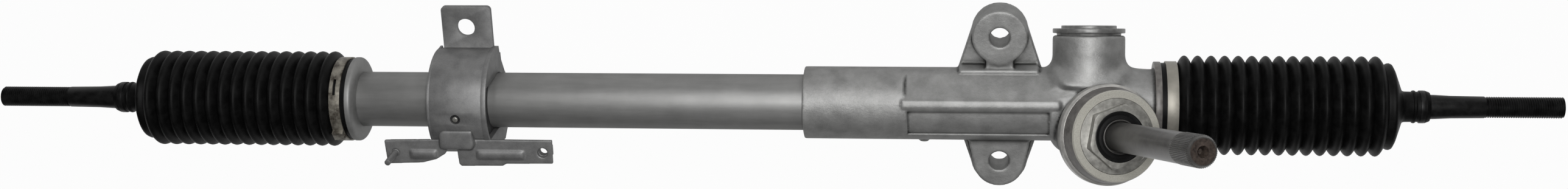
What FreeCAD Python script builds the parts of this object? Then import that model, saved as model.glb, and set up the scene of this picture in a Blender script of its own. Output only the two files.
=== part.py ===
import FreeCAD
import Part
import math
import os

# Manual rack-and-pinion steering gear, millimetres.
# Row frame: X along the rack, Z along the mounting bolts towards the pinion, Y completes it.
# The origin is the centre of the two-ear bolt pattern on its mounting face.

V = FreeCAD.Vector
RACK_Y = -4.7
RACK_Z = 16.0
X_MID = -171.5

# Rack, pinion and their mesh
TEETH = 7
MODULE = 2.0
PRESSURE = math.radians(20.0)
PINION_LEAN = 17.5
PINION_ROLL = 17.5
RACK_SLANT = 8.0
SHIFT = 0.5
MESH_X = 59.7
CENTRE = 18.3
RACK_R = 13.0
RACK_TEETH = 29
BACKLASH = 0.16
PINION_TIP_R = 10.5
SHAFT_R = 9.65
SPLINE_R = 9.8
SPLINE_LEN = 26.0

# Housing
BARREL_R = 24.8
NECK_R = 24.1
FLANGE_R = 29.2
SPIGOT_R = 26.3
RACK_BORE_R = 15.4
EAR_HOLE_R = 6.75
EAR_TOP_H = 49.0
EAR_LOW_H = -39.6
MOUNT_W = -16.0
EAR_FRONT_W = 6.0
TOWER_R = 24.25
TOWER_TOP = 46.6
YOKE_R = 19.0
BOSS_FACE = 54.5
BEARING_R = 22.0

# Tube, boots and tie rods
TUBE_R = 19.15
TUBE_BORE_R = 16.65
CREST_R = 33.4
VALLEY_R = 27.7
CREST_PITCH = 8.93
CREST_FIRST = 294.5
CRESTS = 15
BOOT_WALL = 1.3
RACK_END = 187.9
BALL_X = 386.5
BALL_R = 9.0
SEAT_R = 11.0
TIP_X = 540.0
THREAD_R = 7.0


def pt(x, h, w):
    """Point from rack-axis coordinates: x along, h up in the picture, w towards the pinion."""
    return V(x, RACK_Y + h, RACK_Z + w)


def revolve(profile, origin, zdir, xdir):
    """Solid of revolution of (axial, radius) pairs about zdir."""
    pts = [V(r, 0, a) for a, r in profile]
    face = Part.Face(Part.makePolygon(pts + [pts[0]]))
    solid = face.revolve(V(0, 0, 0), V(0, 0, 1), 360)
    return place(solid, origin, zdir, xdir)


def place(shape, origin, zdir, xdir):
    """Move a shape from local axes to the frame given by origin, Z and X directions."""
    z = V(zdir)
    z.normalize()
    x = V(xdir)
    x = x - z * x.dot(z)
    x.normalize()
    y = z.cross(x)
    m = FreeCAD.Matrix(x.x, y.x, z.x, origin.x,
                       x.y, y.y, z.y, origin.y,
                       x.z, y.z, z.z, origin.z,
                       0, 0, 0, 1)
    out = shape.copy()
    out.transformShape(m)
    return out


def along_x(profile):
    """Solid of revolution about the rack axis of (x, radius) pairs."""
    return revolve(profile, pt(0, 0, 0), V(1, 0, 0), V(0, 0, 1))


def rod_x(x0, x1, r):
    return Part.makeCylinder(r, x1 - x0, pt(x0, 0, 0), V(1, 0, 0))


def ring_x(x0, x1, r0, r1):
    return rod_x(x0, x1, r1).cut(rod_x(x0 - 1, x1 + 1, r0))


def bar_w(x, h, w0, w1, r, r_front=None):
    """Cylinder or cone along the bolt axis."""
    base = pt(x, h, w0)
    if r_front is None:
        return Part.makeCylinder(r, w1 - w0, base, V(0, 0, 1))
    return Part.makeCone(r, r_front, w1 - w0, base, V(0, 0, 1))


def block(x0, x1, h0, h1, w0, w1):
    return Part.makeBox(x1 - x0, h1 - h0, w1 - w0, pt(x0, h0, w0))


def prism_x(x0, x1, outline):
    """Extrude an (h, w) outline along X."""
    pts = [pt(x0, h, w) for h, w in outline]
    return Part.Face(Part.makePolygon(pts + [pts[0]])).extrude(V(x1 - x0, 0, 0))


def prism_w(w0, w1, outline):
    """Extrude an (x, h) outline along the bolt axis."""
    pts = [pt(x, h, w0) for x, h in outline]
    return Part.Face(Part.makePolygon(pts + [pts[0]])).extrude(V(0, 0, w1 - w0))


def sector(r, deg0, deg1, steps=10):
    """(h, w) points on a circle about the rack axis; 0 degrees faces the pinion, 90 is up."""
    out = []
    for i in range(steps + 1):
        a = math.radians(deg0 + (deg1 - deg0) * i / steps)
        out.append((r * math.sin(a), r * math.cos(a)))
    return out


def band(x0, x1, r0, r1, deg0, deg1):
    """Curved strip about the rack axis between two angles."""
    ring = ring_x(x0, x1, r0, r1)
    far = r1 * 2.2
    pie = [(0.0, 0.0)] + sector(far, deg0, deg1, 8)
    return ring.common(prism_x(x0 - 1, x1 + 1, pie))


# Directions of the tilted pinion and of the yoke tower
_roll = math.radians(PINION_ROLL)
_lean = math.radians(PINION_LEAN)
TOWER_DIR = V(0, math.cos(_roll), -math.sin(_roll))
TOOTH_W = V(0, math.sin(_roll), math.cos(_roll))
PINION_DIR = V(1, 0, 0) * math.sin(_lean) + TOOTH_W * math.cos(_lean)
PINION_E = V(1, 0, 0) * math.cos(_lean) - TOOTH_W * math.sin(_lean)
MESH = pt(MESH_X, 0, 0)
PINION_O = MESH - TOWER_DIR * CENTRE


def on_pinion(profile):
    return revolve(profile, PINION_O, PINION_DIR, PINION_E)


def cyl_pinion(s0, s1, r):
    return Part.makeCylinder(r, s1 - s0, PINION_O + PINION_DIR * s0, PINION_DIR)


def cyl_tower(t0, t1, r):
    return Part.makeCylinder(r, t1 - t0, MESH + TOWER_DIR * t0, TOWER_DIR)


# Cast housing with ears, yoke tower and pinion boss
def ear_outline(h, r, spread, base_h):
    """Rounded ear outline in (x, h): arc about the hole, sides running tangent to the barrel."""
    sign = 1.0 if h > 0 else -1.0
    pts = [(-spread, base_h)]
    for i in range(17):
        a = math.radians(172 - 164 * i / 16.0)
        pts.append((r * math.cos(a), h + sign * r * math.sin(a)))
    pts.append((spread, base_h))
    return pts


def housing_body():
    body = along_x([(-132.4, 0), (-132.4, BARREL_R), (-68, BARREL_R), (-64, BARREL_R),
                    (38, BARREL_R), (42, NECK_R), (103, NECK_R), (103, FLANGE_R),
                    (107.0, FLANGE_R), (107.0, SPIGOT_R), (121, SPIGOT_R), (121, 0)])
    facet_mid = 51.9
    facet_d = 22.5
    a = math.radians(facet_mid)
    n = V(0, math.sin(a), math.cos(a))
    facet = place(Part.makeBox(110, 40, 20, V(-55, -20, 0)), pt(-9, 0, 0) + n * facet_d,
                  n, V(1, 0, 0))
    body = body.cut(facet)
    body = body.cut(band(-62, 34, 23.3, 30, -40.5, 8.0))
    body = body.fuse(band(-65, 40, 20, 25.8, 12.0, 24.0))
    body = body.fuse(band(-27, 26, 20, 27.0, 74.0, 118.0))
    return body


def housing_ears():
    top = prism_w(MOUNT_W, -6.0, ear_outline(EAR_TOP_H - 0.9, 19.2, 29.4, 18.0))
    top = top.fuse(bar_w(0, EAR_TOP_H, MOUNT_W, EAR_FRONT_W, 18.6))
    low = prism_w(MOUNT_W, -1.7, ear_outline(EAR_LOW_H - 1.2, 19.2, 27.5, -17.0))
    low = low.fuse(prism_w(-2.0, EAR_FRONT_W, ear_outline(EAR_LOW_H - 1.2, 17.2, 22.5, -17.0)))
    web = block(-9, 9, 14, 34, MOUNT_W, EAR_FRONT_W - 1.0)
    low_web = block(-20, 20, -30, -12, MOUNT_W, EAR_FRONT_W)
    return top.fuse(low).fuse(web).fuse(low_web)


def pinion_housing():
    body = housing_body().fuse(housing_ears())
    tower = revolve([(0, 0), (0, TOWER_R), (TOWER_TOP - 1, TOWER_R),
                     (TOWER_TOP, TOWER_R - 1), (TOWER_TOP, 0)], MESH, TOWER_DIR, V(1, 0, 0))
    flare = revolve([(12, 0), (12, 30.0), (23, 30.0), (25.5, 27.3), (28.5, 25.2),
                     (32, TOWER_R - 0.1), (32, 0)], MESH, TOWER_DIR, V(1, 0, 0))
    body = body.fuse(tower).fuse(flare.common(rod_x(20, 100, 29.5)))
    boss = on_pinion([(-36, 0), (-36, 15), (-33, 17.5), (-14, 18.5), (6, 25.5), (31, 29.5),
                      (32.5, 32.6), (34, 33.5), (39.9, 33.5), (41.5, 31.9),
                      (BOSS_FACE - 1, 30.4), (BOSS_FACE, 29.6), (BOSS_FACE, 0)])
    body = body.fuse(boss)
    nub = place(Part.makeCylinder(3.0, 5.0), pt(-51, -21.5, 3), V(0, -0.9, 0.43), V(1, 0, 0))
    body = body.fuse(nub)
    cuts = [rod_x(-135, -67, TUBE_R), rod_x(-68, 122, RACK_BORE_R),
            cyl_tower(-2, 60, YOKE_R),
            cyl_pinion(-32.5, 31, 12.0), cyl_pinion(26, 31, 14.0),
            cyl_pinion(30, 44.4, BEARING_R),
            cyl_pinion(44, 51.6, 23.0), cyl_pinion(51.5, 60, 25.1),
            bar_w(0, EAR_TOP_H, MOUNT_W - 1, EAR_FRONT_W + 1, EAR_HOLE_R),
            bar_w(0, EAR_LOW_H, MOUNT_W - 1, EAR_FRONT_W + 1, EAR_HOLE_R)]
    for tool in cuts:
        body = body.cut(tool)
    return body


# Rack bar and pinion in mesh
def rack_bar():
    bar = rod_x(2 * X_MID - RACK_END, RACK_END, RACK_R)
    beta = math.radians(PINION_LEAN + RACK_SLANT)
    r_ref = TEETH * MODULE / (2 * math.cos(beta))
    ref = CENTRE - (r_ref + SHIFT * MODULE)
    top = ref + MODULE
    root = ref - 1.25 * MODULE
    slant = math.radians(RACK_SLANT)
    tooth_dir = TOOTH_W * math.cos(slant) - V(1, 0, 0) * math.sin(slant)
    pitch = math.pi * MODULE / math.cos(slant)
    length = RACK_TEETH * pitch
    flat = Part.makeBox(length, 40, 20, V(-length / 2, -20, top))
    down = TOWER_DIR * -1.0
    bar = bar.cut(place(flat, MESH, down, V(1, 0, 0)))
    half = (math.pi * MODULE / 4 + BACKLASH / 2) / math.cos(slant)
    grow = math.tan(PRESSURE) / math.cos(slant)
    tools = []
    for i in range(RACK_TEETH):
        x = (i - (RACK_TEETH - 1) / 2.0) * pitch
        low = half - grow * (ref - root)
        high = half + grow * (RACK_R + 1 - ref)
        a = MESH + V(x, 0, 0) + down * root
        b = MESH + V(x, 0, 0) + down * (RACK_R + 1)
        pts = [a - V(low, 0, 0), a + V(low, 0, 0), b + V(high, 0, 0), b - V(high, 0, 0)]
        pts = [p - tooth_dir * 20 for p in pts]
        tools.append(Part.Face(Part.makePolygon(pts + [pts[0]])).extrude(tooth_dir * 40))
    bar = bar.cut(Part.makeCompound(tools))
    for side in (-1, 1):
        end = X_MID + side * (RACK_END - X_MID)
        x0 = min(end, end - side * 18)
        bar = bar.cut(rod_x(x0 - 0.01 * (side < 0), x0 + 18.01, 7.5))
    return bar


def involute(angle):
    return math.tan(angle) - angle


def pinion_profile():
    """Transverse tooth outline with shifted involute flanks."""
    beta = math.radians(PINION_LEAN + RACK_SLANT)
    r_ref = TEETH * MODULE / (2 * math.cos(beta))
    alpha_t = math.atan(math.tan(PRESSURE) / math.cos(beta))
    r_base = r_ref * math.cos(alpha_t)
    r_root = r_ref - (1.25 - SHIFT) * MODULE
    s_n = math.pi * MODULE / 2 + 2 * SHIFT * MODULE * math.tan(PRESSURE)
    half = s_n / math.cos(beta) / (2 * r_ref)
    pts = []
    for i in range(TEETH):
        mid = math.pi / 2 + 2 * math.pi * i / TEETH
        radii = [r_base + (PINION_TIP_R - r_base) * k / 4.0 for k in range(5)]
        flank = []
        for r in radii:
            alpha = math.acos(min(1.0, r_base / r))
            flank.append((r, half + involute(alpha_t) - involute(alpha)))
        flank = [(r_root, flank[0][1])] + flank
        for r, a in flank:
            pts.append(V(r * math.cos(mid - a), r * math.sin(mid - a), 0))
        for r, a in reversed(flank):
            pts.append(V(r * math.cos(mid + a), r * math.sin(mid + a), 0))
    return pts, r_ref, beta


def pinion_gear(s0, s1):
    pts, r_ref, beta = pinion_profile()
    twist = math.tan(beta) / r_ref
    steps = 9
    wires = []
    for k in range(steps + 1):
        s = s0 + (s1 - s0) * k / steps
        a = s * twist
        ring = []
        for p in pts:
            ring.append(V(p.x * math.cos(a) - p.y * math.sin(a),
                          p.x * math.sin(a) + p.y * math.cos(a), s))
        wires.append(ring)
    faces = []
    n = len(pts)
    for k in range(steps):
        low, high = wires[k], wires[k + 1]
        for i in range(n):
            j = (i + 1) % n
            faces.append(Part.Face(Part.makePolygon([low[i], low[j], high[j], low[i]])))
            faces.append(Part.Face(Part.makePolygon([low[i], high[j], high[i], low[i]])))
    faces.append(Part.Face(Part.makePolygon(wires[0] + [wires[0][0]])))
    faces.append(Part.Face(Part.makePolygon(wires[-1] + [wires[-1][0]])))
    solid = Part.makeSolid(Part.makeShell(faces))
    if solid.Volume < 0:
        solid.reverse()
    return place(solid, PINION_O, PINION_DIR, PINION_E)


def pinion_shaft():
    gear = pinion_gear(-15.0, 15.0)
    low = on_pinion([(-31.5, 0), (-31.5, 7.2), (-30.8, 8.0), (-15.0, 8.0), (-15.0, 0)])
    tip = BOSS_FACE + 139
    splined = tip - SPLINE_LEN - 2.2
    high = on_pinion([(15.0, 0), (15.0, 9.0), (27.0, 9.0), (27.0, 13.0), (30.0, 13.0),
                      (30.0, 11.0), (44.0, 11.0), (44.0, 10.6), (55.4, 10.6), (56.0, SHAFT_R),
                      (splined - 1.4, SHAFT_R), (splined - 1.2, 9.0), (splined - 0.2, 9.0),
                      (splined, SPLINE_R), (tip - 2.2, SPLINE_R),
                      (tip, 8.6), (tip, 3.4), (tip - 2.4, 1.9), (tip - 8.0, 1.9), (tip - 9, 0)])
    return gear.fuse(low).fuse(high)


def bearing_parts():
    mid = 37.0
    groove = place(Part.makeTorus(16.5, 3.25), PINION_O + PINION_DIR * mid, PINION_DIR, PINION_E)
    outer = cyl_pinion(30.0, 44.0, BEARING_R).cut(cyl_pinion(29, 45, 18.2)).cut(groove)
    inner = cyl_pinion(30.0, 44.0, 14.8).cut(cyl_pinion(29, 45, 11.0)).cut(groove)
    cage = cyl_pinion(mid - 1.2, mid + 1.2, 17.3).cut(cyl_pinion(mid - 2, mid + 2, 15.7))
    for i in range(9):
        a = 2 * math.pi * i / 9
        side = PINION_E * math.cos(a) + TOWER_DIR * math.sin(a)
        ball = place(Part.makeSphere(3.15), PINION_O + PINION_DIR * mid + side * 16.5,
                     PINION_DIR, side)
        cage = cage.fuse(ball)
    return outer, inner, cage


def pinion_nut():
    body = on_pinion([(44.0, 16.75), (44.0, 23.0), (51.5, 23.0), (51.5, 24.9),
                      (BOSS_FACE + 0.2, 24.9), (BOSS_FACE + 0.2, 16.75)])
    hexagon = []
    for i in range(6):
        a = math.radians(60 * i + 19.5)
        hexagon.append(V(22.0 * math.cos(a), 22.0 * math.sin(a), BOSS_FACE))
    top = Part.Face(Part.makePolygon(hexagon + [hexagon[0]])).extrude(V(0, 0, 6.0))
    top = top.cut(Part.makeCylinder(16.75, 40, V(0, 0, 40)))
    bevel = Part.makeCone(24.2, 20.4, 3.8, V(0, 0, BOSS_FACE + 2.4), V(0, 0, 1))
    bevel = bevel.fuse(Part.makeCylinder(24.2, 2.6, V(0, 0, BOSS_FACE - 0.2)))
    top = place(top.common(bevel), PINION_O, PINION_DIR, PINION_E)
    return body.fuse(top)


# Yoke that presses the rack into the pinion
def yoke_parts():
    cradle = rod_x(MESH_X - 40, MESH_X + 40, RACK_R + 0.85)
    body = cyl_tower(5.0, 29.0, YOKE_R - 0.06).cut(cradle).cut(cyl_tower(19.0, 30.0, 11.5))
    body = body.cut(cyl_tower(15.9, 17.3, 30).cut(cyl_tower(15, 18, YOKE_R - 1.5)))
    pad = cyl_tower(5.0, 16.0, YOKE_R - 0.06)
    pad = pad.common(rod_x(MESH_X - 40, MESH_X + 40, RACK_R + 0.85))
    pad = pad.cut(rod_x(MESH_X - 41, MESH_X + 41, RACK_R + 0.04))
    o_ring = place(Part.makeTorus(YOKE_R - 0.82, 0.68), MESH + TOWER_DIR * 16.6, TOWER_DIR,
                   V(1, 0, 0))
    plug = cyl_tower(34.0, TOWER_TOP, YOKE_R).cut(cyl_tower(33.0, 41.0, 11.5))
    cap = cyl_tower(TOWER_TOP, 48.2, 21.5).fuse(cyl_tower(48.2, 51.3, 24.25))
    cap = cap.fuse(cyl_tower(51.3, 53.3, 18.5))
    return body, pad, o_ring, plug, cap


def yoke_spring():
    pitch = 4.4
    height = 41.0 - 19.0 - 2.4
    helix = Part.makeHelix(pitch, height, 9.0)
    wire = Part.Wire(helix)
    start = wire.Vertexes[0].Point
    ring = Part.Wire(Part.makeCircle(1.2, start, V(0, 1, 0.08)))
    coil = wire.makePipeShell([ring], True, True)
    return place(coil, MESH + TOWER_DIR * 20.2, TOWER_DIR, V(1, 0, 0))


# Boots, clamps, ball joints and tie rods; side is +1 right, -1 left
def mirrored(profile, side):
    """Profile given as distance from the middle of the gear."""
    pts = [(X_MID + side * d, r) for d, r in profile]
    return along_x(pts)


CUFF_0 = 278.6
CUFF_1 = 290.7
COLLAR_0 = 436.5
COLLAR_1 = 454.2


def boot(side):
    half = CREST_PITCH / 2.0
    outer = [(CUFF_0, 28.4), (CUFF_1 - 1.2, 28.4), (CUFF_1 - 0.9, VALLEY_R)]
    for i in range(CRESTS):
        c = CREST_FIRST + i * CREST_PITCH
        outer += [(c - 1.1, CREST_R), (c + 1.1, CREST_R), (c + half, VALLEY_R)]
    small = CREST_FIRST + CRESTS * CREST_PITCH - 0.5
    outer += [(small - 1.0, 28.9), (small + 1.0, 28.9), (small + 2.6, 25.6),
              (COLLAR_0, 10.1), (COLLAR_1, 10.1)]
    inner = [(COLLAR_1, 8.1), (COLLAR_0, 8.1), (small + 2.2, 24.0), (small, 27.2)]
    for i in reversed(range(CRESTS)):
        c = CREST_FIRST + i * CREST_PITCH
        if i < CRESTS - 1:
            inner.append((c + half, VALLEY_R - BOOT_WALL))
        else:
            inner.append((c + half, 26.2))
        inner.append((c, CREST_R - BOOT_WALL))
    inner += [(CUFF_1 - 0.9, SPIGOT_R), (CUFF_0, SPIGOT_R)]
    return mirrored(outer + inner, side)


def large_clamp(side):
    a, b = CUFF_1 - 9.0, CUFF_1 - 1.5
    loop = mirrored([(a, 28.4), (a, 29.5), (b, 29.5), (b, 28.4)], side)
    x = X_MID + side * (a + b) / 2.0
    deg = math.radians(-104 if side > 0 else -35)
    out = V(0, math.sin(deg), math.cos(deg))
    ear = Part.makeBox(7.5, 8.0, 3.2, V(-3.75, -4.0, 0)).cut(
        Part.makeBox(7.5, 4.4, 2.0, V(-3.75, -2.2, 0)))
    ear = place(ear, pt(x, 0, 0) + out * 29.3, out, V(1, 0, 0))
    return loop.fuse(ear)


def small_clamp(side):
    a = COLLAR_0 + 11.2
    return mirrored([(a, 10.1), (a, 10.9), (a + 3.2, 10.9), (a + 3.2, 10.1)], side)


def ball_housing(side):
    body = mirrored([(361.0, 0), (361.0, 14.6), (362.5, 16.0), (372.0, 16.0), (373.0, 17.0),
                     (388.0, 17.0), (391.7, 13.6), (391.7, 0)], side)
    stem = mirrored([(343.0, 0), (343.0, 6.7), (343.8, 7.5), (361.0, 7.5), (361.0, 0)], side)
    body = body.fuse(stem)
    centre = pt(X_MID + side * BALL_X, 0, 0)
    body = body.cut(Part.makeSphere(SEAT_R + 0.04, centre))
    mouth = mirrored([(BALL_X - 0.02, 0), (BALL_X - 0.02, 7.2), (BALL_X + 12, 13.2),
                      (BALL_X + 12, 0)], side)
    return body.cut(mouth)


def ball_seat(side):
    centre = pt(X_MID + side * BALL_X, 0, 0)
    shell = Part.makeSphere(SEAT_R, centre).cut(Part.makeSphere(BALL_R + 0.04, centre))
    opening = mirrored([(BALL_X + 4.6, 0), (BALL_X + 4.6, 20), (BALL_X + 20, 20),
                        (BALL_X + 20, 0)], side)
    return shell.cut(opening)


def tie_rod(side):
    centre = pt(X_MID + side * BALL_X, 0, 0)
    rod = mirrored([(BALL_X, 0), (BALL_X, 6.0), (BALL_X + 13, 6.0), (BALL_X + 20, 7.4),
                    (COLLAR_0 - 8, 7.4), (COLLAR_0 - 5, 8.1), (COLLAR_1 + 3, 8.1),
                    (COLLAR_1 + 14, 7.5), (490.0, 7.2), (491.2, THREAD_R),
                    (TIP_X - 1.5, THREAD_R), (TIP_X, 5.6), (TIP_X, 0)], side)
    return rod.fuse(Part.makeSphere(BALL_R, centre))


def lock_washer(side):
    ring = mirrored([(361.0 - 1.6, 7.5), (361.0 - 1.6, 15.4), (361.0, 15.4), (361.0, 7.5)], side)
    return ring


# Steel tube, its end flange and the rack bush
def left_flange():
    seat = X_MID - (CUFF_0 - 0.1)
    return along_x([(-464.0, TUBE_R), (-464.0, SPIGOT_R), (seat, SPIGOT_R), (seat, 29.4),
                    (-447.5, 29.4), (-446.0, 28.5), (-444.9, 26.4), (-444.5, 24.0),
                    (-444.5, TUBE_R)])


# Strap, saddle and bushing of the left mount, and the bracket welded to it
STRAP_X0 = -387.5
STRAP_X1 = -351.0
SIDE_X0 = -389.2
SIDE_X1 = -347.7
SIDE_R = 37.6
NUB_X = -369.6
NUB_TURN = -2.2


def mount_strap():
    strap = band(STRAP_X0, STRAP_X1, 33.5, 36.5, -112.0, 112.0)
    tab = block(STRAP_X0, -352.2, 30.0, 64.3, MOUNT_W, -12.7)
    top_edges = [e for e in tab.Edges
                 if e.BoundBox.YLength < 0.01 and e.BoundBox.XLength < 0.01
                 and e.BoundBox.Center.y > RACK_Y + 60]
    tab = tab.makeFillet(3.0, top_edges) if top_edges else tab
    strap = strap.fuse(tab).cut(rod_x(-400, -340, 33.5))
    strap = strap.cut(bar_w(-370.6, EAR_TOP_H, -20, 0, 6.3))
    a = math.radians(NUB_TURN)
    out = V(0, math.sin(a), math.cos(a))
    hole = place(Part.makeCylinder(3.5, 20), pt(NUB_X, 0, 0) + out * 28, out, V(1, 0, 0))
    return strap.cut(hole)


# Rear edge of the saddle as (h, w), from the bolt tab round to the bottom
SADDLE_REAR = [(36.4, -10.5), (24.9, -13.0), (14.8, -19.5), (8.0, -25.5), (0.0, -28.0),
               (-14.0, -26.5), (-25.4, -16.5), (-31.0, -8.0)]
SADDLE_WEB = [(33.5, -13.4), (25.0, -14.2), (14.9, -20.5), (8.0, -26.5), (0.0, -29.0),
              (-14.5, -27.5), (-26.0, -17.5), (-32.2, -8.2)]
WEB_THICK = 2.5


def shrink(points, d):
    out = []
    for h, w in points:
        r = math.hypot(h, w)
        out.append((h * (r - d) / r, w * (r - d) / r))
    return out


def mount_saddle():
    plates = []
    for x0, x1, r, hole_r in ((SIDE_X0, STRAP_X0, 36.5, 23.0),
                              (STRAP_X1, SIDE_X1, SIDE_R, TUBE_R + 0.45)):
        outline = sector(r, -82.0, 97.0, 24) + SADDLE_REAR
        plates.append(prism_x(x0, x1, outline).cut(rod_x(x0 - 1, x1 + 1, hole_r)))
    mouth = block(STRAP_X1 - 1, SIDE_X1 + 1, -18.5, 19.0, 0.0, 40.0)
    plates[1] = plates[1].cut(mouth.common(rod_x(STRAP_X1 - 2, SIDE_X1 + 2, SIDE_R - 2.4)))
    web = prism_x(SIDE_X0, SIDE_X1, SADDLE_WEB + shrink(SADDLE_WEB, WEB_THICK)[::-1])
    web = web.common(rod_x(SIDE_X0 - 1, SIDE_X1 + 1, 33.5))
    return web.fuse(plates[0]).fuse(plates[1])


def mount_bushing():
    body = ring_x(SIDE_X0 + 0.6, STRAP_X1, TUBE_R, 23.0)
    inside = sector(40.0, -85.0, 100.0, 24) + shrink(SADDLE_WEB, WEB_THICK)
    mid = ring_x(STRAP_X0, STRAP_X1, TUBE_R, 33.5).common(
        prism_x(STRAP_X0, STRAP_X1, inside))
    body = body.fuse(mid)
    a = math.radians(NUB_TURN)
    out = V(0, math.sin(a), math.cos(a))
    nub = place(Part.makeCone(2.6, 2.1, 3.9), pt(NUB_X, 0, 0) + out * 32.5, out, V(1, 0, 0))
    return body.fuse(nub)


ARM_BACK = 31.8
ARM_FRONT = 34.3


def arm_bracket():
    left = [(-422.0, -17.9), (-421.0, -35.2), (-396.0, -34.2), (-386.0, -31.6), (-379.5, -27.5),
            (-376.8, -23.3), (-378.0, -17.0), (-389.8, -17.1)]
    right = [(-371.0, -22.0), (-370.3, -34.6), (-368.8, -36.4), (-339.6, -36.1), (-336.9, -34.5),
             (-304.3, -34.1), (-303.9, -17.1), (-357.0, -16.8), (-362.0, -17.0), (-365.0, -19.0)]
    tongue = [(-382.4, -22.5), (-382.4, -12.0), (-379.5, -9.3), (-358.5, -9.3), (-357.8, -20.0),
              (-360.0, -23.5), (-377.0, -23.5)]
    body = prism_w(ARM_BACK, ARM_FRONT, left)
    body = body.fuse(prism_w(ARM_BACK, ARM_FRONT, right))
    body = body.fuse(prism_w(ARM_BACK, 37.4, tongue))
    for x0, x1 in ((-404.0, -385.5), (-357.0, -324.0)):
        bead = block(x0, x1, -30.6, -24.8, ARM_FRONT - 0.5, ARM_FRONT + 1.6)
        edges = [e for e in bead.Edges if e.BoundBox.Center.z > RACK_Z + ARM_FRONT + 1.5]
        body = body.fuse(bead.makeFillet(1.4, edges))
    body = body.cut(rod_x(-400, -340, 36.51))
    for x0, x1 in ((SIDE_X0 - 0.05, STRAP_X0 + 0.01), (STRAP_X1 - 0.01, SIDE_X1 + 0.05)):
        body = body.cut(rod_x(x0, x1, SIDE_R + 0.02))
    body = body.cut(bar_w(-311.0, -26.1, 20, 50, 3.4))
    return body.cut(bar_w(-414.6, -26.8, 20, 50, 2.6))


def arm_stud():
    return bar_w(-414.6, -26.8, ARM_BACK - 1.6, ARM_BACK, 5.0).fuse(
        bar_w(-414.6, -26.8, ARM_BACK, ARM_FRONT, 2.6)).fuse(
        bar_w(-414.6, -26.8, ARM_FRONT, ARM_FRONT + 19.0, 2.1))


def arm_nut():
    pts = []
    for i in range(6):
        a = math.radians(60 * i)
        pts.append((-311.0 + 6.9 * math.cos(a), -26.1 + 6.9 * math.sin(a)))
    return prism_w(ARM_BACK - 5.0, ARM_BACK, pts).cut(bar_w(-311.0, -26.1, 20, 50, 2.75))


def save(name, shape):
    if shape.ShapeType != "Solid" and len(shape.Solids) == 1:
        shape = shape.Solids[0]
    shape.exportStep(os.path.join("parts", name + ".step"))
    box = shape.BoundBox
    print("%-22s solids %d valid %s vol %.0f x %.1f..%.1f y %.1f..%.1f z %.1f..%.1f" % (
        name, len(shape.Solids), shape.isValid(), shape.Volume, box.XMin, box.XMax,
        box.YMin, box.YMax, box.ZMin, box.ZMax))


def main():
    os.makedirs("parts", exist_ok=True)
    save("pinion_housing", pinion_housing())
    save("rack_tube", along_x([(-446.0, TUBE_BORE_R), (-446.0, TUBE_R), (-68.0, TUBE_R),
                               (-68.0, TUBE_BORE_R)]))
    save("left_end_flange", left_flange())
    save("rack_bush", along_x([(-446.0, RACK_R + 0.05), (-446.0, TUBE_BORE_R),
                               (-424.0, TUBE_BORE_R), (-424.0, RACK_R + 0.05)]))
    save("rack_bar", rack_bar())
    save("pinion_shaft", pinion_shaft())
    outer, inner, cage = bearing_parts()
    save("pinion_bearing_outer", outer)
    save("pinion_bearing_inner", inner)
    save("pinion_bearing_balls", cage)
    save("pinion_sleeve", on_pinion([(44.0, 10.6), (44.0, 11.4), (60.9, 11.4), (60.9, 10.6)]))
    save("needle_bearing", on_pinion([(-30.0, 8.04), (-30.0, 12.0), (-17.5, 12.0),
                                      (-17.5, 8.04)]))
    save("pinion_nut", pinion_nut())
    save("pinion_seal", on_pinion([(52.5, 11.45), (52.5, 16.75), (59.8, 16.75), (60.1, 14.5),
                                   (59.4, 11.45)]))
    yoke, pad, o_ring, plug, cap = yoke_parts()
    save("yoke", yoke)
    save("yoke_pad", pad)
    save("yoke_o_ring", o_ring)
    save("yoke_spring", yoke_spring())
    save("yoke_plug", plug)
    save("tower_cap", cap)
    for name, side in (("right", 1), ("left", -1)):
        save("boot_" + name, boot(side))
        save("large_clamp_" + name, large_clamp(side))
        save("small_clamp_" + name, small_clamp(side))
        save("ball_housing_" + name, ball_housing(side))
        save("ball_seat_" + name, ball_seat(side))
        save("tie_rod_" + name, tie_rod(side))
        save("lock_washer_" + name, lock_washer(side))
    save("mount_strap", mount_strap())
    save("mount_saddle", mount_saddle())
    save("mount_bushing", mount_bushing())
    save("arm_bracket", arm_bracket())
    save("arm_stud", arm_stud())
    save("arm_nut", arm_nut())


main()
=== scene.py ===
import math

import bpy
from mathutils import Matrix, Vector


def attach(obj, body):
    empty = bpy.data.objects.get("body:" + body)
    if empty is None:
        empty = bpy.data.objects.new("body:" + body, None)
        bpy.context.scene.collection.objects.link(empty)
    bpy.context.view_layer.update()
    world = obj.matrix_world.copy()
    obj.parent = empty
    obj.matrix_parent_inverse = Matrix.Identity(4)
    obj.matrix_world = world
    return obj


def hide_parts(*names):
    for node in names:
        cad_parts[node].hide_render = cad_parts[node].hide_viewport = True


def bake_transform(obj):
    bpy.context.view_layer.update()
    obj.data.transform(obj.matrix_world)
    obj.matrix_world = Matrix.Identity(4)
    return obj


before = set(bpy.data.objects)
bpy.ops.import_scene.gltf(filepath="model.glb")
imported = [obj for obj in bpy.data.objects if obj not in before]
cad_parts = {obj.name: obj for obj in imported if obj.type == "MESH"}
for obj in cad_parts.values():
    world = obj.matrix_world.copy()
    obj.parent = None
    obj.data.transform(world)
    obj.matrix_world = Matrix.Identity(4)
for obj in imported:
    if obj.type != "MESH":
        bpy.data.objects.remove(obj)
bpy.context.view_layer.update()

# Camera
# The gear lies on its mounting faces and is photographed from the pinion side,
# a little from above and from the right, with a normal lens about 1.3 m away.
camera_turns = (Matrix.Rotation(math.radians(-20.0), 4, "X")
                @ Matrix.Rotation(math.radians(6.45), 4, "Y")
                @ Matrix.Rotation(math.radians(0.4125), 4, "Z"))
bpy.ops.object.select_all(action="DESELECT")
bpy.ops.object.camera_add(location=(0.0032, 0.4554, 1.26496), rotation=camera_turns.to_euler())
camera = bpy.context.object
camera.data.sensor_fit = "HORIZONTAL"
camera.data.sensor_width = 36.0
camera.data.lens = 44.72
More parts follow.
